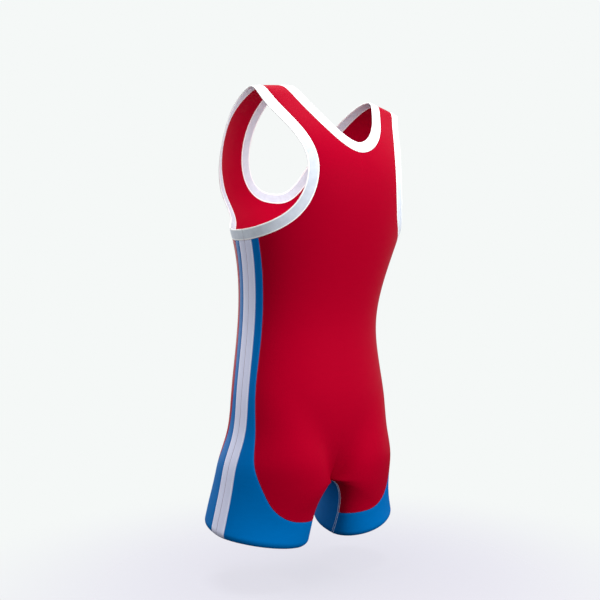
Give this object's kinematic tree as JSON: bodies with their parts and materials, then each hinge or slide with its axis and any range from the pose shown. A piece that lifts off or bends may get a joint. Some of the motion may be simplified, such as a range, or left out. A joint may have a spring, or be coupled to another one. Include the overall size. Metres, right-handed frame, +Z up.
{
  "type": "wrestling singlet",
  "caption": "Sleeveless stretch-knit wrestling suit with thigh-length legs, scooped neck, deep armholes with bindings, and striped side panels.",
  "frame": {"origin": "midway between the two shoulder straps, at the height where they bear on the wearer's shoulders", "axes": "+X to the wearer's left, +Y to the wearer's back, +Z up"},
  "size_m": [0.3696, 0.2722, 0.7788],
  "materials": {
    "red_knit": "satin nylon and elastane warp knit",
    "blue_knit": "satin nylon and elastane warp knit",
    "white_knit": "satin nylon and elastane warp knit",
    "white_binding": "folded knit binding, matt"
  },
  "bodies": {
    "root": {"front_body": "red_knit", "back_body": "red_knit", "neck_binding": "white_binding", "front_side_panel_left": "blue_knit", "back_side_panel_left": "blue_knit", "side_stripe_front_left": "white_knit", "side_stripe_back_left": "white_knit", "armhole_binding_left": "white_binding", "front_side_panel_right": "blue_knit", "back_side_panel_right": "blue_knit", "side_stripe_front_right": "white_knit", "side_stripe_back_right": "white_knit", "armhole_binding_right": "white_binding"}
  },
  "joints": []
}
